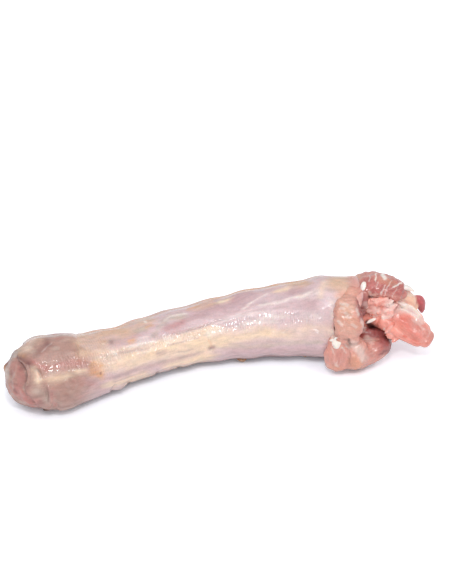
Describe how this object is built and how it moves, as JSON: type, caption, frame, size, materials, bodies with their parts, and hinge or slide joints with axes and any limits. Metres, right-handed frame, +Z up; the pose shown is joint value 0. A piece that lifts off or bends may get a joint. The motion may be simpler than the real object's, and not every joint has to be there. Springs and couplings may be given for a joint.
{
  "type": "raw turkey neck",
  "caption": "Raw skinned turkey neck: a gently bent sleeve of muscle and fascia, closed in a rounded knob at one end and cut at the other, where muscle lobes open round the neck bone.",
  "frame": {"origin": "middle of the outline, on the surface that the neck lies on", "axes": "+X along the neck towards the cut end, +Y towards the back, +Z up"},
  "size_m": [0.2548, 0.0747, 0.0492],
  "materials": {
    "flesh": "moist raw meat under thin pale fascia and fat",
    "bone": "moist pink bone and cartilage"
  },
  "bodies": {
    "root": {"flesh": "flesh", "neck_bone": "bone"}
  },
  "joints": []
}
